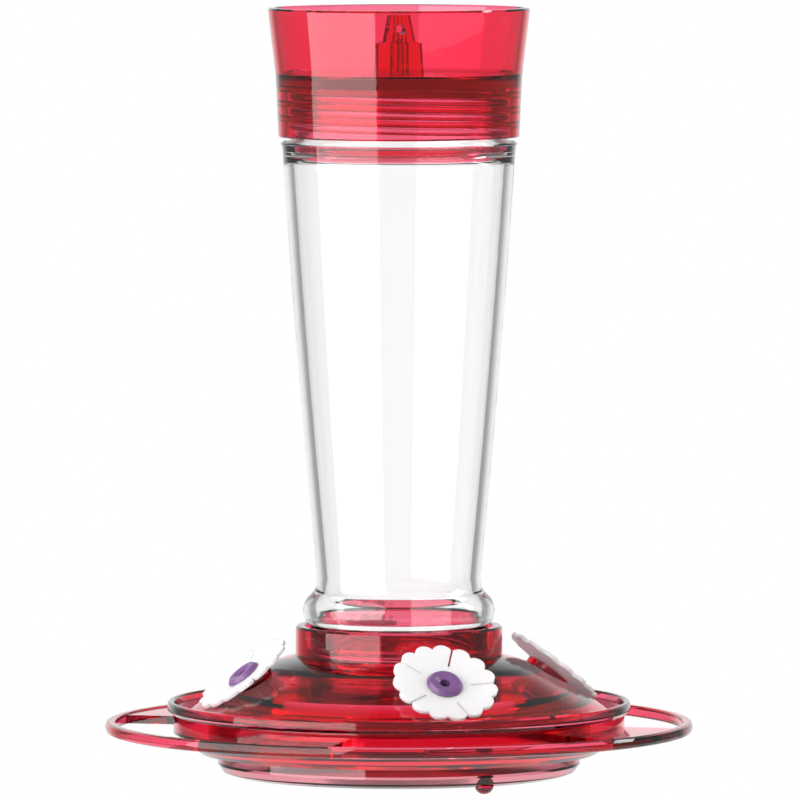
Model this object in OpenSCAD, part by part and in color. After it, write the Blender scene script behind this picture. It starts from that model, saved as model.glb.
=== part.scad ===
// Hanging hummingbird feeder: a water moat cap, a tapered glass bottle and a round feeding base
// with four flower ports and a perch ring. Origin on the axis at the base's underside, +Z up.
// Flower ports sit on -Y, +X, +Y and -X.

/* [Bottle] */
// Height of the bottle's mouth end above the underside of the base
neck_end_z = 22.3; // [18:0.1:26]
// Height of the waist above the neck bead
waist_z = 56; // [50:0.5:62]
// Height of the bottle's top shoulder
shoulder_z = 180.3; // [150:0.5:200]
// Outer radius at the waist
waist_r = 23.4; // [20:0.1:26]
// Outer radius at the top shoulder ring
shoulder_r = 33.6; // [31:0.1:38]
// How far the flank bows out between waist and shoulder
flank_bow = 0.5; // [0:0.1:2]
// Outer radius of the bead above the base collar
bead_r = 27.4; // [26:0.1:29]
// Height of the bead's widest line
bead_z = 46.5; // [44:0.1:49]
// Radius of the lower neck under its thread
neck_r = 25.3; // [23:0.1:26]
// Radius of the top finish under its thread
finish_r = 30; // [28:0.1:31]
// Length of the top finish above the shoulder
finish_h = 13.3; // [10:0.1:18]
// Thickness of the glass
glass_wall = 2.9; // [2:0.1:4]

/* [Cap] */
// Length of the cap's skirt and moat together
cap_h = 36.7; // [30:0.1:50]
// Height of the moat's floor above the cap's lower edge
moat_floor_h = 17.3; // [15:0.1:22]
// Outer radius at the cap's lower edge
cap_low_r = 34.3; // [33.8:0.1:38]
// Outer radius at the moat's rim
cap_rim_r = 37.3; // [35:0.1:42]
// Thickness of the moat's wall
cap_wall = 2; // [1.6:0.1:3]
// Thickness of the moat's floor
moat_floor_t = 2.9; // [2:0.1:4]
// Width of the hanger post at its foot
post_foot_w = 13.6; // [10:0.1:18]
// Width of the hanger post at its shoulder
post_mid_w = 8.6; // [6:0.1:10]
// Width of the hanger post at its top
post_top_w = 5.4; // [4:0.1:6]
// Height of the post's foot ribs
post_foot_h = 9.3; // [6:0.1:12]
// Height of the whole hanger post
post_h = 17.4; // [14:0.1:22]
// Thickness of the post's plate with the hole
post_plate_t = 4; // [3:0.1:6]
// Thickness of the post's cross rib
post_rib_t = 2.2; // [1.6:0.1:3]
// Diameter of the hole for the hanging hook
hook_hole_d = 3; // [2:0.1:3.4]
// Height of the hook hole above the moat's floor
hook_hole_h = 13.4; // [12:0.1:14]

/* [Base cover] */
// Outer radius of the collar round the neck
collar_r = 29.5; // [28.8:0.1:32]
// Height of the collar's top edge
collar_top_z = 42.1; // [40:0.1:43]
// Height where the dome leaves the collar
dome_top_z = 33.6; // [31:0.1:36]
// Radius where the dome turns into its cone
dome_turn_r = 38.8; // [36:0.1:42]
// Height where the dome turns into its cone
dome_turn_z = 30.7; // [29:0.1:31.5]
// Width of the gutter between the cone's foot and the outside of the lip
gutter_w = 5.9; // [4.5:0.1:8]
// How far the lip stands out from the ring that the bowl locks in
lip_out = 11.5; // [10.5:0.1:14]
// Height of the lip's top edge
lip_top_z = 20.6; // [19.5:0.1:24]
// Height of the lip's lower edge
lip_low_z = 17; // [16:0.1:17.4]
// Thickness of the red plastic
shell_t = 2; // [1.6:0.1:2.4]
// Radial clearance of the collar round the thread's root
collar_gap = 1.5; // [1:0.1:1.8]
// Inner radius of the ledge that the neck's gasket lies on
ledge_r = 22.4; // [20:0.1:23]

/* [Perch and skirt] */
// How far the perch ring stands out from the lip
perch_out = 17.8; // [12:0.1:26]
// Width of the perch ring's bar
perch_w = 2.9; // [2.4:0.1:5]
// Height of the perch ring's bar
perch_h = 3.2; // [2.4:0.1:4]
// Height of the perch ring's underside
perch_z = 11.7; // [9:0.1:13]
// Number of webs between base and perch ring
web_count = 4; // [3:1:6]
// Angle that one web spans, in degrees
web_span = 29; // [15:1:40]
// Thickness of the webs
web_t = 2.4; // [1.6:0.1:3]
// How far the skirt's lower edge stands out from the ring that the bowl locks in
skirt_low_out = 3.1; // [2.5:0.1:5]
// Height of the skirt's lower edge
skirt_low_z = 6.1; // [5.6:0.1:7]

/* [Bowl] */
// Outer radius of the bowl's wall
bowl_r = 51.7; // [48:0.1:52.5]
// How far the bowl's wall draws in to the flat under it
bowl_draw = 3.2; // [2.6:0.1:6]
// Thickness of the bowl's wall
bowl_t = 1.8; // [1.4:0.1:2.4]
// Height of the bowl's rim
bowl_rim_z = 14.6; // [13:0.1:15]
// Number of locking lugs round the bowl
lug_count = 4; // [3:1:6]
// Angle that one lug spans, in degrees
lug_span = 16; // [10:1:24]
// How far a lug stands out of the bowl
lug_out = 1.3; // [0.9:0.1:1.6]
// Height of a lug
lug_h = 2; // [1.4:0.1:2.6]
// Angle that the bowl turns to come free, in degrees
lock_turn = 25; // [18:1:30]
// Free gap between the bowl and the ring round it
bowl_gap = 0.3; // [0.3:0.1:0.8]

/* [Flowers] */
// Distance from the axis to a flower's centre
port_rho = 45.9; // [44:0.1:47]
// Height of a flower's centre
port_z = 29; // [28.4:0.1:30]
// Tilt of a flower's face away from level, in degrees
port_tilt = 38.5; // [34:0.5:42]
// Radius to the tips of the petals
petal_r = 15; // [13:0.1:16]
// Thickness of the petals
petal_t = 1.2; // [0.8:0.1:1.6]
// How far the petals' tips stand above the flower's middle
petal_dish = 1.3; // [0.4:0.1:2]
// Number of petals
petal_count = 5; // [4:1:6]
// Scallops on the edge of one petal
scallop_count = 3; // [2:1:3]
// Width of the slit between two petals
slit_w = 0.5; // [0.4:0.1:1]
// Radius at which the slits end
slit_r = 7.6; // [7:0.1:9]
// Outer radius of a flower's stem
stem_r = 4.4; // [4:0.1:5]
// Length of a flower's stem
stem_l = 7.5; // [7:0.1:9]
// Outer radius of the boss round a stem
boss_r = 7.2; // [6.8:0.1:8]
// Gap between a flower's back and its boss
boss_gap = 0.3; // [0.2:0.1:0.5]
// Radius of the purple centre's head
guard_r = 5.1; // [4.6:0.1:6]
// Height of the purple centre's head
guard_h = 1.4; // [1:0.1:2]
// Outer radius of the purple centre's tube
guard_tube_r = 2.9; // [2.6:0.1:3.2]
// Length of the purple centre's tube
guard_tube_l = 11; // [9:0.1:13]
// Diameter of the feeding hole
feed_hole_d = 2.9; // [2:0.1:3.6]

/* [Seals] */
// Thickness of the flat gaskets
gasket_t = 2.1; // [1.5:0.1:2.2]

/* [Hidden] */

$fn = 128;
slack = 0.01;
run_gap = 0.3;
red = "#c8203c";
port_az = [for (i = [0:3]) -90 + 90 * i];

// Bottle heights that follow from the driving ones
finish_top_z = shoulder_z + finish_h;
neck_top_z = bead_z - 3.2;
flank_h = shoulder_z - 1.2 - waist_z;
flank_steps = 12;

// Cap heights
cap_low_z = shoulder_z + 1.1;
moat_z = cap_low_z + moat_floor_h;
cap_top_z = cap_low_z + cap_h;
cap_under_z = moat_z - moat_floor_t;
cap_bore_r = finish_r + 1.7;
cap_floor_r = cap_low_r + (cap_rim_r - cap_low_r) * moat_floor_h / cap_h * 0.55;

// The collar's sleeve and its ledge under the neck
sleeve_r = neck_r + collar_gap;
sleeve_out_r = sleeve_r + shell_t + 0.4;
ledge_z = neck_end_z - gasket_t;

// The bowl's flat, and the ring round its wall that it locks in
bowl_foot_r = bowl_r - bowl_draw;
lock_in_r = bowl_r + bowl_gap;
lock_r = lock_in_r + lug_out + 1.2;

// The lip, the foot of the dome's cone inside it, and the perch ring outside it
lip_r = lock_r + lip_out;
lip_t = 1.9;
dome_foot_r = lip_r - gutter_w;
dome_foot_z = lip_low_z + 0.6;
perch_r = lip_r + perch_out;

// The skirt under the lip
skirt_top_r = lip_r - 1.6;
skirt_low_r = lock_r + skirt_low_out;
lug_z = 9.4;
lug_run = 0.3;
seal_z = bowl_rim_z;
cover_under_z = lip_low_z;

// The cone's inner side, and the rib on it that presses the bowl's seal
under_top = [dome_turn_r - 0.8, dome_turn_z - shell_t];
under_foot = [dome_foot_r - 1.6, lip_low_z];
rib_in_r = bowl_r - bowl_t - 1.4;
rib_out_r = lock_r;

function under_z(r) = under_top[1] + (under_foot[1] - under_top[1])
    * (r - under_top[0]) / (under_foot[0] - under_top[0]);
function flank_r(t) = waist_r + (shoulder_r - 0.3 - waist_r) * t + flank_bow * sin(180 * t);

// The bottle's outer line from its lower mouth up to its upper one
bottle_line = concat(
    [[neck_r, neck_end_z], [neck_r, neck_top_z - 0.8], [bead_r - 0.8, neck_top_z],
     [bead_r - 0.4, neck_top_z + 1], [bead_r, bead_z - 0.6], [bead_r, bead_z + 0.6],
     [bead_r - 0.5, bead_z + 2.2], [bead_r - 1.3, bead_z + 3.6], [bead_r - 2.4, bead_z + 4.7],
     [waist_r + 0.7, bead_z + 5.7], [waist_r + 0.15, bead_z + 7.2]],
    [for (i = [0:flank_steps]) [flank_r(i / flank_steps), waist_z + flank_h * i / flank_steps]],
    [[shoulder_r, shoulder_z - 1.1], [shoulder_r, shoulder_z - 0.6], [shoulder_r - 0.6, shoulder_z],
     [finish_r + 0.6, shoulder_z + 0.4], [finish_r, shoulder_z + 1], [finish_r, finish_top_z]]);

// The same line inside the glass
bore_line = concat(
    [[neck_r - glass_wall, neck_end_z - slack], [neck_r - glass_wall, neck_top_z - 1.2],
     [bead_r - glass_wall - 0.6, bead_z - 1], [bead_r - glass_wall - 0.4, bead_z + 0.6],
     [bead_r - glass_wall - 1.6, bead_z + 3.2], [waist_r - glass_wall + 0.5, bead_z + 5.6]],
    [for (i = [0:flank_steps - 1])
        [flank_r(i / flank_steps) - glass_wall, waist_z + flank_h * i / flank_steps]],
    [[shoulder_r - glass_wall - 0.5, shoulder_z - 5], [finish_r - glass_wall + 1.6, shoulder_z - 2.6],
     [finish_r - glass_wall + 0.4, shoulder_z - 1], [finish_r - glass_wall, shoulder_z + 0.8],
     [finish_r - glass_wall, finish_top_z + slack]]);

module spin(line) {
    rotate_extrude() polygon(line);
}

module ring(r_in, r_out, z_low, h) {
    translate([0, 0, z_low]) difference() {
        cylinder(r = r_out, h = h);
        translate([0, 0, -1]) cylinder(r = r_in, h = h + 2);
    }
}

// A flat sector between two radii, centred on the X axis
module sector(r_in, r_out, span, h) {
    rotate([0, 0, -span / 2]) rotate_extrude(angle = span)
        translate([r_in, 0]) square([r_out - r_in, h]);
}

module glass_bottle() {
    color("#dfe8ea", 0.35) spin(concat(bottle_line, [for (i = [len(bore_line) - 1:-1:0]) [
        bore_line[i][0], min(max(bore_line[i][1], neck_end_z), finish_top_z)]]));
}

// Tapered plate of the hanger post, standing on the moat's floor
module post_plate(t) {
    rotate([90, 0, 0]) translate([0, 0, -t / 2]) linear_extrude(t) polygon([
        [-post_foot_w / 2, -slack], [post_foot_w / 2, -slack],
        [post_foot_w / 2 - 0.6, post_foot_h], [post_mid_w / 2, post_foot_h + 0.5],
        [post_top_w / 2, post_h], [-post_top_w / 2, post_h],
        [-post_mid_w / 2, post_foot_h + 0.5], [-post_foot_w / 2 + 0.3, post_foot_h]]);
}

module hanger_post() {
    translate([0, 0, moat_z]) difference() {
        union() {
            post_plate(post_plate_t);
            rotate([0, 0, 90]) post_plate(post_rib_t);
        }
        translate([0, -post_foot_w, hook_hole_h]) rotate([-90, 0, 0])
            cylinder(d = hook_hole_d, h = 2 * post_foot_w);
    }
}

// Cup of the moat above, threaded skirt below and the post in the middle
module moat_cap() {
    color(red, 0.8) {
        spin([[0, cap_under_z], [cap_bore_r, cap_under_z], [cap_bore_r, cap_low_z + 0.5],
              [cap_bore_r + 0.4, cap_low_z], [cap_low_r - 0.3, cap_low_z], [cap_low_r, cap_low_z + 0.3],
              [cap_floor_r, moat_z], [cap_rim_r, cap_top_z - 0.6], [cap_rim_r - 0.4, cap_top_z],
              [cap_rim_r - cap_wall + 0.3, cap_top_z], [cap_rim_r - cap_wall, cap_top_z - 0.4],
              [cap_floor_r - cap_wall, moat_z + 0.8], [cap_floor_r - cap_wall - 0.8, moat_z],
              [0, moat_z]]);
        hanger_post();
    }
}

module cap_gasket() {
    color("#f0eee8") ring(finish_r - glass_wall, finish_r + 0.4, finish_top_z, cap_under_z - finish_top_z);
}

module neck_gasket() {
    color("#f0eee8") ring(ledge_r + 0.3, sleeve_r - 0.3, ledge_z, gasket_t);
}

// Places its children on port i, with +Z along the flower's normal and +Y up the slope
module at_port(az) {
    rotate([0, 0, az]) translate([port_rho, 0, port_z])
        rotate([0, port_tilt, 0]) rotate([0, 0, 90]) children();
}

boss_top = -petal_t - boss_gap;
boss_l = 9;

module base_cover() {
    color(red, 0.8) difference() {
        union() {
            spin([[ledge_r, ledge_z - shell_t], [sleeve_out_r, ledge_z - shell_t],
                  [sleeve_out_r, dome_top_z - shell_t - 1],
                  under_top, [rib_in_r, under_z(rib_in_r)], [rib_in_r, cover_under_z],
                  [rib_out_r, cover_under_z], [rib_out_r, under_z(rib_out_r)],
                  under_foot, [lip_r - 1.4, lip_low_z],
                  [lip_r, lip_low_z + 1.2],
                  [lip_r, lip_top_z - 0.5], [lip_r - 0.5, lip_top_z], [lip_r - lip_t + 0.5, lip_top_z],
                  [lip_r - lip_t, lip_top_z - 0.5], [lip_r - lip_t - 0.4, dome_foot_z + 0.9],
                  [dome_foot_r, dome_foot_z + 0.5], [dome_turn_r, dome_turn_z],
                  [dome_turn_r - 3.5, dome_top_z - 1.6], [dome_turn_r - 6.3, dome_top_z - 0.7],
                  [collar_r, dome_top_z], [collar_r, collar_top_z - 0.6], [collar_r - 0.6, collar_top_z],
                  [sleeve_r + 0.4, collar_top_z], [sleeve_r, collar_top_z - 0.4],
                  [sleeve_r, ledge_z], [ledge_r, ledge_z]]);
            for (az = port_az) at_port(az)
                translate([0, 0, boss_top - boss_l]) cylinder(r = boss_r, h = boss_l);
        }
        for (az = port_az) at_port(az)
            translate([0, 0, boss_top - boss_l - 1]) cylinder(r = stem_r + run_gap, h = boss_l + 2);
    }
}

// Ring round the bowl, the sloping skirt, and the perch ring on its webs
module perch_skirt() {
    color(red, 0.8) {
        difference() {
            spin([[lock_in_r, skirt_low_z], [skirt_low_r - 0.6, skirt_low_z],
                  [skirt_low_r, skirt_low_z + 0.4], [skirt_top_r, perch_z],
                  [skirt_top_r, cover_under_z], [skirt_top_r - shell_t, cover_under_z],
                  [skirt_top_r - shell_t, perch_z + 0.6], [skirt_low_r - shell_t + 0.4, skirt_low_z + 2.6],
                  [lock_r, skirt_low_z + 2.6], [lock_r, cover_under_z],
                  [lock_in_r, cover_under_z]]);
            lug_channel();
        }
        perch_ring();
        for (i = [0:web_count - 1]) rotate([0, 0, -45 + 360 / web_count * i])
            translate([0, 0, perch_z + (perch_h - web_t) / 2])
                sector(skirt_top_r - 0.6, perch_r - perch_w / 2, web_span, web_t);
    }
}

// Groove in which the bowl's lugs turn, with a drop slot beside each lug
module lug_channel() {
    translate([0, 0, lug_z - lug_run]) difference() {
        cylinder(r = bowl_r + lug_out + run_gap, h = lug_h + 2 * lug_run);
        translate([0, 0, -1]) cylinder(r = lock_in_r - 1, h = lug_h + 4);
    }
    for (i = [0:lug_count - 1]) rotate([0, 0, 45 + 360 / lug_count * i + lock_turn])
        translate([0, 0, skirt_low_z - 1])
            sector(lock_in_r - 1, bowl_r + lug_out + run_gap - 0.1, lug_span + 2, lug_z - skirt_low_z + 1);
}

module perch_ring() {
    bar_r = 1.1;
    spin([[perch_r - perch_w, perch_z + 0.3], [perch_r - perch_w + 0.3, perch_z],
          [perch_r - bar_r, perch_z], [perch_r - bar_r * 0.3, perch_z + bar_r * 0.3],
          [perch_r, perch_z + bar_r], [perch_r, perch_z + perch_h - bar_r],
          [perch_r - bar_r * 0.3, perch_z + perch_h - bar_r * 0.3],
          [perch_r - bar_r, perch_z + perch_h], [perch_r - perch_w + 0.3, perch_z + perch_h],
          [perch_r - perch_w, perch_z + perch_h - 0.3]]);
}

module nectar_bowl() {
    color("#e6a8b0", 0.6) {
        spin([[0, 0], [bowl_foot_r, 0], [bowl_foot_r + 1.9, 0.8], [bowl_r, 2.8],
              [bowl_r, bowl_rim_z], [bowl_r - bowl_t, bowl_rim_z], [bowl_r - bowl_t, 3.4],
              [bowl_foot_r - 0.4, bowl_t], [0, bowl_t]]);
        for (i = [0:lug_count - 1]) rotate([0, 0, 45 + 360 / lug_count * i])
            translate([0, 0, lug_z]) sector(bowl_r - 0.6, bowl_r + lug_out, lug_span, lug_h);
    }
}

module bowl_seal() {
    color("#f0eee8") ring(bowl_r - bowl_t - 0.6, bowl_r - 0.1, seal_z, cover_under_z - seal_z);
}

// Outline of one flower: scallops round the edge, cut by a slit between each two petals
module petal_outline() {
    lobe_r = petal_r * 0.2;
    lobes = petal_count * scallop_count;
    difference() {
        union() {
            circle(r = petal_r - lobe_r * 0.75);
            for (i = [0:lobes - 1]) rotate(360 / lobes * (i + 0.5) - 3)
                translate([petal_r - lobe_r, 0]) circle(r = lobe_r, $fn = 32);
        }
        for (i = [0:petal_count - 1]) rotate(360 / petal_count * i - 3)
            translate([slit_r, -slit_w / 2]) square([petal_r, slit_w]);
        circle(r = guard_tube_r + 0.05);
    }
}

// One white flower with its dished face and the stem that plugs into the boss
module flower(az) {
    cup = 5.6;
    color("#f4f4f6") at_port(az) {
        intersection() {
            spin([[0, -petal_t], [cup, -petal_t], [petal_r + 1, petal_dish - petal_t],
                  [petal_r + 1, petal_dish], [cup, 0], [0, 0]]);
            translate([0, 0, -petal_t - 1]) linear_extrude(petal_dish + petal_t + 2) petal_outline();
        }
        ring(guard_tube_r + 0.05, stem_r, -stem_l - petal_t, stem_l + slack);
    }
}

// Purple centre that keeps bees out, pressed through the flower
module bee_guard(az) {
    color("#7a5a88") at_port(az) difference() {
        spin([[0, -guard_tube_l], [guard_tube_r - 0.4, -guard_tube_l], [guard_tube_r, -guard_tube_l + 0.5],
              [guard_tube_r, 0], [guard_r, 0], [guard_r, 0.4], [guard_r - 0.9, guard_h],
              [guard_r - 2.1, guard_h], [feed_hole_d / 2, guard_h - 0.7], [0, guard_h - 0.7]]);
        translate([0, 0, -guard_tube_l - 1]) cylinder(d = feed_hole_d, h = guard_tube_l + guard_h + 2);
    }
}

moat_cap();
cap_gasket();
glass_bottle();
neck_gasket();
base_cover();
perch_skirt();
nectar_bowl();
bowl_seal();
flower(port_az[0]);  // flower_front
flower(port_az[1]);  // flower_right
flower(port_az[2]);  // flower_back
flower(port_az[3]);  // flower_left
bee_guard(port_az[0]);  // bee_guard_front
bee_guard(port_az[1]);  // bee_guard_right
bee_guard(port_az[2]);  // bee_guard_back
bee_guard(port_az[3]);  // bee_guard_left
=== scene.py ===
# Hanging hummingbird feeder: clear red plastic cap and base, pressed glass bottle, white flowers
import math

import bmesh
import bpy
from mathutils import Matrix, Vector


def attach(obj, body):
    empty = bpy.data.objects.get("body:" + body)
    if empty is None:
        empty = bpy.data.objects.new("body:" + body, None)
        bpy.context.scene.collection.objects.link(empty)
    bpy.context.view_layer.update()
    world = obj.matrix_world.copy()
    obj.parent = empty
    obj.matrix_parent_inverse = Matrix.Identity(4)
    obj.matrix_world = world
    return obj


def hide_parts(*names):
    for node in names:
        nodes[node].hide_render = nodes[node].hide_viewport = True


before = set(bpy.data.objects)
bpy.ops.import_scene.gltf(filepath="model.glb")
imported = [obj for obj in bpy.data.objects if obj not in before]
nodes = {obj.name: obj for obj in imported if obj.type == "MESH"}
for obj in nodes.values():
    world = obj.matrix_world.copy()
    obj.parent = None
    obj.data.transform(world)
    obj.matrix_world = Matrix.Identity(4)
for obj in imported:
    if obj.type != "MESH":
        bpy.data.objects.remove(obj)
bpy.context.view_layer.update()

mm = 0.001

print("frame loaded,", len(nodes), "nodes")


def linearColour(hexText, alpha=1.0):
    channels = [int(hexText[i:i + 2], 16) / 255 for i in (1, 3, 5)]
    return [c / 12.92 if c <= 0.04045 else ((c + 0.055) / 1.055) ** 2.4 for c in channels] + [alpha]


def addNode(tree, kind, inputs=None, **settings):
    node = tree.nodes.new(kind)
    for name, value in settings.items():
        setattr(node, name, value)
    for key, value in (inputs or {}).items():
        if isinstance(value, bpy.types.NodeSocket):
            tree.links.new(value, node.inputs[key])
        else:
            node.inputs[key].default_value = value
    return node


def newMaterial(name):
    material = bpy.data.materials.new(name)
    material.use_nodes = True
    material.node_tree.nodes.clear()
    return material, material.node_tree


def surfaceWaves(tree, look):
    # gentle unevenness of a moulded or pressed surface, sized in millimetres
    place = addNode(tree, "ShaderNodeTexCoord")
    noise = addNode(tree, "ShaderNodeTexNoise", {
        "Vector": place.outputs["Object"], "Scale": 1000 / look["waveMm"],
        "Detail": 1.5, "Roughness": 0.4})
    bump = addNode(tree, "ShaderNodeBump", {
        "Height": noise.outputs["Fac"], "Distance": look["waveDepthMm"] * mm,
        "Strength": look["waveStrength"]})
    return noise, bump


def unevenGloss(tree, noise, look):
    # roughness that wanders by a share of itself, along with the waves
    return addNode(tree, "ShaderNodeMapRange", {
        "Value": noise.outputs["Fac"], "From Min": 0.3, "From Max": 0.7,
        "To Min": look["rough"] * (1 - look["roughSpread"]),
        "To Max": look["rough"] * (1 + look["roughSpread"])})


# Clear plastics: SAN, injection moulded in polished tools, so glassy and evenly tinted
plasticLooks = {
    "red": {"tint": "#ffd2dc", "deep": "#fb5fa4", "density": 700.0, "rough": 0.035,
            "roughSpread": 0.4, "waveMm": 24.0, "waveDepthMm": 0.02, "waveStrength": 1.0},
    "pale": {"tint": "#f8dade", "deep": "#ee6d8e", "density": 220.0, "rough": 0.05,
             "roughSpread": 0.4, "waveMm": 18.0, "waveDepthMm": 0.02, "waveStrength": 1.0},
}


def clearPlastic(name, look):
    material, tree = newMaterial(name)
    noise, bump = surfaceWaves(tree, look)
    haze = unevenGloss(tree, noise, look)
    skin = addNode(tree, "ShaderNodeBsdfPrincipled", {
        "Base Color": linearColour(look["tint"]), "Roughness": haze.outputs["Result"], "IOR": 1.5,
        "Transmission Weight": 1.0, "Normal": bump.outputs["Normal"]})
    depth = addNode(tree, "ShaderNodeVolumeAbsorption", {
        "Color": linearColour(look["deep"]), "Density": look["density"]})
    addNode(tree, "ShaderNodeOutputMaterial", {
        "Surface": skin.outputs["BSDF"], "Volume": depth.outputs["Volume"]})
    return material


# Soda-lime container glass, pressed and blown: clear, with soft ripples from the mould
glassLook = {"tint": "#fefefe", "rough": 0.0,
             "waveMm": 30.0, "waveDepthMm": 0.05, "waveStrength": 1.0}


def pressedGlass(look):
    material, tree = newMaterial("pressedGlass")
    noise, bump = surfaceWaves(tree, look)
    skin = addNode(tree, "ShaderNodeBsdfPrincipled", {
        "Base Color": linearColour(look["tint"]), "Roughness": look["rough"], "IOR": 1.52,
        "Transmission Weight": 1.0, "Normal": bump.outputs["Normal"]})
    addNode(tree, "ShaderNodeOutputMaterial", {"Surface": skin.outputs["BSDF"]})
    return material


# Cloudy plastics, moulded with a soft gloss: polypropylene for the flowers and their centres,
# silicone for the seals. Thin edges let some light through.
cloudyLooks = {
    "whitePolypropylene": {"colour": "#f8f7fb", "rough": 0.38, "scatter": 0.8, "through": 0.35},
    "purplePolypropylene": {"colour": "#664573", "rough": 0.3, "scatter": 0.05, "through": 0.0},
    "milkySilicone": {"colour": "#e6dcd8", "rough": 0.5, "scatter": 0.4, "through": 0.5},
}
cloudySurface = {"roughSpread": 0.15, "waveMm": 1.2, "waveDepthMm": 0.01, "waveStrength": 0.5}
scatterDepthMm = 3.5
scatterColours = (1.0, 0.8, 0.85)   # how far red, green and blue spread, as shares of the depth


def cloudyPlastic(name):
    look = {**cloudyLooks[name], **cloudySurface}
    material, tree = newMaterial(name)
    noise, bump = surfaceWaves(tree, look)
    shade = unevenGloss(tree, noise, look)
    skin = addNode(tree, "ShaderNodeBsdfPrincipled", {
        "Base Color": linearColour(look["colour"]), "Roughness": shade.outputs["Result"],
        "IOR": 1.49, "Subsurface Weight": look["scatter"], "Subsurface Radius": scatterColours,
        "Subsurface Scale": scatterDepthMm * mm, "Transmission Weight": look["through"],
        "Normal": bump.outputs["Normal"]})
    addNode(tree, "ShaderNodeOutputMaterial", {"Surface": skin.outputs["BSDF"]})
    return material


redPlastic = clearPlastic("clearRedSan", plasticLooks["red"])
palePlastic = clearPlastic("clearPaleSan", plasticLooks["pale"])
bottleGlass = pressedGlass(glassLook)
whitePlastic = cloudyPlastic("whitePolypropylene")
purplePlastic = cloudyPlastic("purplePolypropylene")
milkySilicone = cloudyPlastic("milkySilicone")

nodeMaterials = {
    "moat_cap": redPlastic, "base_cover": redPlastic, "perch_skirt": redPlastic,
    "nectar_bowl": palePlastic, "glass_bottle": bottleGlass,
    "cap_gasket": milkySilicone, "neck_gasket": milkySilicone, "bowl_seal": milkySilicone,
}


def dressNodes():
    for name, piece in nodes.items():
        material = nodeMaterials.get(name)
        if name.startswith("flower"):
            material = whitePlastic
        if name.startswith("bee_guard"):
            material = purplePlastic
        piece.data.materials.clear()
        piece.data.materials.append(material)
    print("materials on", len(nodes), "nodes")


dressNodes()


# The clear pieces, whose curves are shaded smooth up to the angle of their real edges
clearPieces = {
    "moat_cap": {"body": "cap", "slot": "red_plastic", "edge": 22},
    "glass_bottle": {"body": "bottle", "slot": "clear_glass", "edge": 50},
    "base_cover": {"body": "base", "slot": "red_plastic", "edge": 22},
    "perch_skirt": {"body": "base", "slot": "red_plastic", "edge": 22},
    "nectar_bowl": {"body": "bowl", "slot": "pale_plastic", "edge": 30},
}
weldMm = 0.004   # corners closer than this are one corner


def smoothPiece(name, look):
    # the node's own shape with its triangles joined up, so that curves catch light evenly
    joined = bmesh.new()
    joined.from_mesh(nodes[name].data)
    bmesh.ops.remove_doubles(joined, verts=joined.verts, dist=weldMm * mm)
    sharpFrom = math.radians(look["edge"])
    for edge in joined.edges:
        edge.smooth = len(edge.link_faces) == 2 and edge.calc_face_angle() < sharpFrom
    for face in joined.faces:
        face.smooth = True
    mesh = bpy.data.meshes.new(name + "Smooth")
    joined.to_mesh(mesh)
    joined.free()
    mesh.materials.append(nodeMaterials[name])
    piece = bpy.data.objects.new(name + "Smooth", mesh)
    bpy.context.scene.collection.objects.link(piece)
    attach(piece, look["body"])
    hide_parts(name)


for pieceName, pieceLook in clearPieces.items():
    smoothPiece(pieceName, pieceLook)
print(len(clearPieces), "clear pieces smoothed")


# Screw threads: a rounded ridge swept along a helix by Geometry Nodes, sizes in millimetres
threads = {
    "glassTopThread": {"body": "bottle", "slot": "clear_glass", "material": bottleGlass,
                       "radius": 30.2, "low": 182.8, "turns": 2.8, "ridge": 1.0},
    "glassNeckThread": {"body": "bottle", "slot": "clear_glass", "material": bottleGlass,
                        "radius": 25.6, "low": 24.6, "turns": 2.6, "ridge": 0.75},
    "capThread": {"body": "cap", "slot": "red_plastic", "material": redPlastic,
                  "radius": 31.6, "low": 184.9, "turns": 2.6, "ridge": 0.95},
    "collarThread": {"body": "base", "slot": "red_plastic", "material": redPlastic,
                     "radius": 26.95, "low": 26.7, "turns": 2.4, "ridge": 0.42},
}
threadPitch = 4.233   # six turns an inch, as on wide-mouth jars
helixSteps = 96       # in each turn
ridgeSides = 10


def threadTree():
    tree = bpy.data.node_groups.new("screwThread", "GeometryNodeTree")
    face = tree.interface
    for name in ("Radius", "Low", "Turns", "Pitch", "Ridge"):
        face.new_socket(name, in_out="INPUT", socket_type="NodeSocketFloat")
    face.new_socket("Finish", in_out="INPUT", socket_type="NodeSocketMaterial")
    face.new_socket("Geometry", in_out="OUTPUT", socket_type="NodeSocketGeometry")
    given = addNode(tree, "NodeGroupInput").outputs
    climb = addNode(tree, "ShaderNodeMath", {0: given["Turns"], 1: given["Pitch"]},
                    operation="MULTIPLY")
    helix = addNode(tree, "GeometryNodeCurveSpiral", {
        "Resolution": helixSteps, "Rotations": given["Turns"], "Start Radius": given["Radius"],
        "End Radius": given["Radius"], "Height": climb.outputs[0]})
    lift = addNode(tree, "ShaderNodeCombineXYZ", {"Z": given["Low"]})
    placed = addNode(tree, "GeometryNodeTransform", {
        "Geometry": helix.outputs["Curve"], "Translation": lift.outputs["Vector"]})
    section = addNode(tree, "GeometryNodeCurvePrimitiveCircle", {
        "Resolution": ridgeSides, "Radius": given["Ridge"]})
    swept = addNode(tree, "GeometryNodeCurveToMesh", {
        "Curve": placed.outputs["Geometry"], "Profile Curve": section.outputs["Curve"],
        "Fill Caps": True})
    whole = addNode(tree, "GeometryNodeRealizeInstances", {"Geometry": swept.outputs["Mesh"]})
    dressed = addNode(tree, "GeometryNodeSetMaterial", {
        "Geometry": whole.outputs["Geometry"], "Material": given["Finish"]})
    addNode(tree, "NodeGroupOutput", {"Geometry": dressed.outputs["Geometry"]})
    return tree


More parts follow.
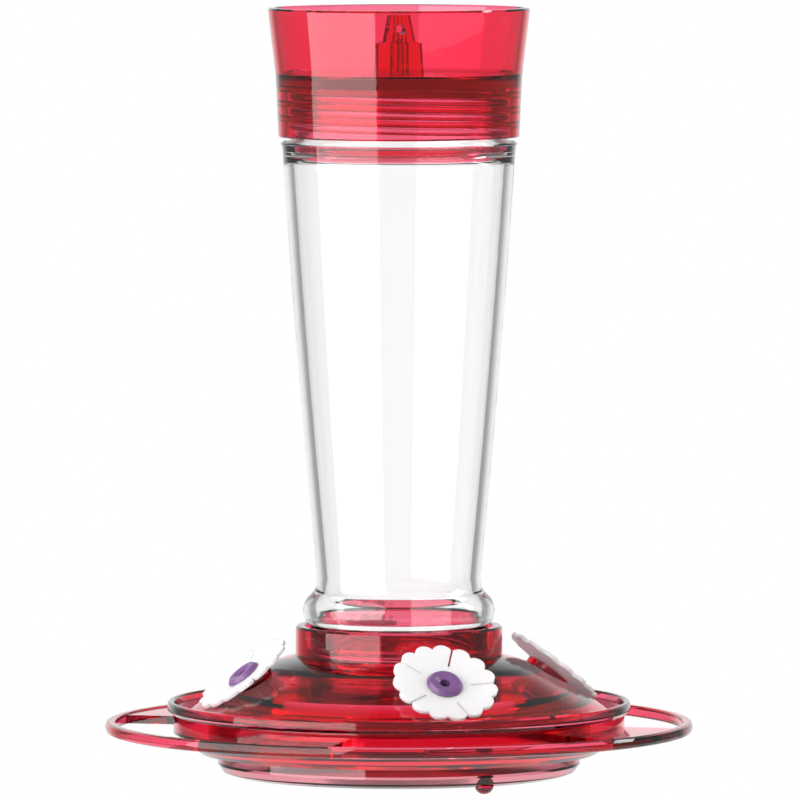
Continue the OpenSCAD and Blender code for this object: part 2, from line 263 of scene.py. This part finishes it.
def growPiece(name, tree, values):
    # runs a Geometry Nodes tree on an empty mesh and keeps its result as a plain mesh
    seed = bpy.data.objects.new(name + "Seed", bpy.data.meshes.new(name + "Seed"))
    bpy.context.scene.collection.objects.link(seed)
    modifier = seed.modifiers.new("grow", "NODES")
    modifier.node_group = tree
    for item in tree.interface.items_tree:
        if item.in_out == "INPUT" and item.name in values:
            modifier[item.identifier] = values[item.name]
    grown = seed.evaluated_get(bpy.context.evaluated_depsgraph_get())
    mesh = bpy.data.meshes.new_from_object(grown)
    seed.modifiers.remove(modifier)
    bpy.data.objects.remove(seed)
    piece = bpy.data.objects.new(name, mesh)
    bpy.context.scene.collection.objects.link(piece)
    for polygon in mesh.polygons:
        polygon.use_smooth = True
    return piece


def makeThreads():
    tree = threadTree()
    for name, size in threads.items():
        piece = growPiece(name, tree, {
            "Radius": size["radius"] * mm, "Low": size["low"] * mm, "Turns": size["turns"],
            "Pitch": threadPitch * mm, "Ridge": size["ridge"] * mm, "Finish": size["material"]})
        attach(piece, size["body"])
    print("threads made")


makeThreads()


# The view of the photograph: a long lens, slightly above the feeder, in metres and degrees
view = {"azimuth": -106.3, "pitch": 3.67, "distance": 3.03, "lens": 478.8, "sensor": 36,
        "targetZ": 0.1064, "targetRight": 0.0003, "near": 0.1, "far": 50}
azimuth = math.radians(view["azimuth"])
towardsCamera = Vector((math.cos(azimuth), math.sin(azimuth), 0))
toRight = Vector((-towardsCamera.y, towardsCamera.x, 0))


# The small round pip that stands out under the bowl, near its edge, in millimetres.
# Its flat top is sunk into the bowl's underside.
pip = {"ahead": 41, "right": 24, "radius": 2.7, "drop": 2.2, "sunk": 0.3, "steps": 8, "sides": 24}


def makePip():
    foot = towardsCamera * pip["ahead"] * mm + toRight * pip["right"] * mm
    sides = pip["sides"]
    shape = bmesh.new()
    rings = []
    for step in range(pip["steps"]):
        lean = math.pi / 2 * step / pip["steps"]
        reach = pip["radius"] * mm * math.cos(lean)
        height = (pip["sunk"] - (pip["drop"] + pip["sunk"]) * math.sin(lean)) * mm
        rings.append([shape.verts.new((foot.x + reach * math.cos(2 * math.pi * i / sides),
                                       foot.y + reach * math.sin(2 * math.pi * i / sides),
                                       height)) for i in range(sides)])
    tip = shape.verts.new((foot.x, foot.y, -pip["drop"] * mm))
    for upper, lower in zip(rings, rings[1:]):
        for i in range(sides):
            j = (i + 1) % sides
            shape.faces.new((upper[i], upper[j], lower[j], lower[i]))
    for i in range(sides):
        shape.faces.new((rings[-1][i], rings[-1][(i + 1) % sides], tip))
    flatTop = shape.faces.new(rings[0])
    bmesh.ops.recalc_face_normals(shape, faces=shape.faces)
    for face in shape.faces:
        face.smooth = face != flatTop
    mesh = bpy.data.meshes.new("bowlPip")
    shape.to_mesh(mesh)
    shape.free()
    mesh.materials.append(redPlastic)
    piece = bpy.data.objects.new("bowlPip", mesh)
    bpy.context.scene.collection.objects.link(piece)
    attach(piece, "bowl")
    print("pip made")


makePip()


def makeCamera():
    data = bpy.data.cameras.new("camera")
    camera = bpy.data.objects.new("camera", data)
    bpy.context.scene.collection.objects.link(camera)
    data.lens = view["lens"]
    data.sensor_width = view["sensor"]
    data.clip_start = view["near"]
    data.clip_end = view["far"]
    pitch = math.radians(view["pitch"])
    target = Vector((0, 0, view["targetZ"])) + toRight * view["targetRight"]
    back = towardsCamera * math.cos(pitch) + Vector((0, 0, math.sin(pitch)))
    camera.location = target + back * view["distance"]
    camera.rotation_euler = back.to_track_quat("Z", "Y").to_euler()
    bpy.context.scene.camera = camera


# Lamps, in metres. Turn is counted from the camera's direction, positive to its right.
lamps = {
    "keySoftbox": {"turn": -55, "height": 0.3, "distance": 1.5,
                   "width": 2.1, "tall": 1.9, "radiance": 3.8},
    "rightStrip": {"turn": 103, "height": 0.95, "distance": 1.4,
                   "width": 0.3, "tall": 0.9, "radiance": 9.0},
}
lampAim = Vector((0, 0, 0.1))   # near the middle of the feeder


def makeLamp(name, lamp):
    data = bpy.data.lights.new(name, "AREA")
    data.shape = "RECTANGLE"
    data.size = lamp["width"]
    data.size_y = lamp["tall"]
    data.energy = lamp["radiance"] * math.pi * lamp["width"] * lamp["tall"]
    piece = bpy.data.objects.new(name, data)
    bpy.context.scene.collection.objects.link(piece)
    turn = math.radians(lamp["turn"])
    direction = towardsCamera * math.cos(turn) + toRight * math.sin(turn)
    piece.location = direction * lamp["distance"] + Vector((0, 0, lamp["height"]))
    piece.rotation_euler = (piece.location - lampAim).to_track_quat("Z", "Y").to_euler()


# Brightness of the studio, by the way it is seen: mirrored in a surface, through a clear
# piece, as the light on a matt piece, or straight from the camera
whiteLight = linearColour("#ffffff")
mirroredRoom = {"roomUntil": 0.8, "sweepFrom": 0.97, "room": 0.34, "sweep": 1.0}
seenThrough = {"levelUntil": 0.3, "steepFrom": 0.7, "level": 1.08, "steep": 0.4}
softLight = 1.15
backdrop = 1.0


def makeWorld():
    world = bpy.data.worlds.new("studio")
    bpy.context.scene.world = world
    world.use_nodes = True
    tree = world.node_tree
    tree.nodes.clear()
    place = addNode(tree, "ShaderNodeTexCoord")
    # mirrored light finds the white sweep behind the feeder and a dim room round it
    ahead = addNode(tree, "ShaderNodeVectorMath", {
        0: place.outputs["Generated"], 1: tuple(-towardsCamera)}, operation="DOT_PRODUCT")
    room = addNode(tree, "ShaderNodeMapRange", {
        "Value": ahead.outputs["Value"],
        "From Min": mirroredRoom["roomUntil"], "From Max": mirroredRoom["sweepFrom"],
        "To Min": mirroredRoom["room"], "To Max": mirroredRoom["sweep"]},
        interpolation_type="SMOOTHSTEP")
    # light that comes straight through sees white on every side, and less above and below
    rise = addNode(tree, "ShaderNodeSeparateXYZ", {"Vector": place.outputs["Generated"]})
    steep = addNode(tree, "ShaderNodeMath", {0: rise.outputs["Z"]}, operation="ABSOLUTE")
    level = addNode(tree, "ShaderNodeMapRange", {
        "Value": steep.outputs[0],
        "From Min": seenThrough["levelUntil"], "From Max": seenThrough["steepFrom"],
        "To Min": seenThrough["level"], "To Max": seenThrough["steep"]},
        interpolation_type="SMOOTHSTEP")
    path = addNode(tree, "ShaderNodeLightPath")
    mirrored = addNode(tree, "ShaderNodeMath", {0: path.outputs["Glossy Depth"], 1: 0.5},
                       operation="GREATER_THAN")
    bent = addNode(tree, "ShaderNodeMath", {
        0: path.outputs["Is Glossy Ray"], 1: path.outputs["Is Transmission Ray"]},
        operation="MAXIMUM")
    soft = addNode(tree, "ShaderNodeBackground", {"Color": whiteLight, "Strength": softLight})
    through = addNode(tree, "ShaderNodeBackground", {
        "Color": whiteLight, "Strength": level.outputs["Result"]})
    studio = addNode(tree, "ShaderNodeBackground", {
        "Color": whiteLight, "Strength": room.outputs["Result"]})
    white = addNode(tree, "ShaderNodeBackground", {"Color": whiteLight, "Strength": backdrop})
    clear = addNode(tree, "ShaderNodeMixShader", {
        0: mirrored.outputs[0], 1: through.outputs[0], 2: studio.outputs[0]})
    unseen = addNode(tree, "ShaderNodeMixShader", {
        0: bent.outputs[0], 1: soft.outputs[0], 2: clear.outputs[0]})
    final = addNode(tree, "ShaderNodeMixShader", {
        0: path.outputs["Is Camera Ray"], 1: unseen.outputs[0], 2: white.outputs[0]})
    addNode(tree, "ShaderNodeOutputWorld", {"Surface": final.outputs[0]})


# The feeder hangs, so the studio's floor lies well below it. Its glow, seen by the camera
# and in the clear pieces, hides where the floor ends.
floorLook = {"radius": 9, "z": -2.6, "sides": 96, "colour": "#fafafa",
             "glow": 1.0, "glowShare": 0.86}


def makeFloor():
    bpy.ops.mesh.primitive_circle_add(vertices=floorLook["sides"], radius=floorLook["radius"],
                                      fill_type="NGON", location=(0, 0, floorLook["z"]))
    floor = bpy.context.object
    floor.name = "floor"
    material, tree = newMaterial("paleFloor")
    path = addNode(tree, "ShaderNodeLightPath")
    bent = addNode(tree, "ShaderNodeMath", {
        0: path.outputs["Is Glossy Ray"], 1: path.outputs["Is Transmission Ray"]},
        operation="MAXIMUM")
    shown = addNode(tree, "ShaderNodeMath", {
        0: bent.outputs[0], 1: path.outputs["Is Camera Ray"]}, operation="MAXIMUM")
    share = addNode(tree, "ShaderNodeMath", {0: shown.outputs[0], 1: floorLook["glowShare"]},
                    operation="MULTIPLY")
    matt = addNode(tree, "ShaderNodeBsdfDiffuse", {"Color": linearColour(floorLook["colour"])})
    glow = addNode(tree, "ShaderNodeEmission", {
        "Color": whiteLight, "Strength": floorLook["glow"]})
    both = addNode(tree, "ShaderNodeMixShader", {
        0: share.outputs[0], 1: matt.outputs[0], 2: glow.outputs[0]})
    addNode(tree, "ShaderNodeOutputMaterial", {"Surface": both.outputs[0]})
    floor.data.materials.append(material)


makeCamera()
for lampName, lampSize in lamps.items():
    makeLamp(lampName, lampSize)
makeWorld()
makeFloor()
bpy.context.scene.view_settings.view_transform = "Standard"
print("camera, lamps and floor made")
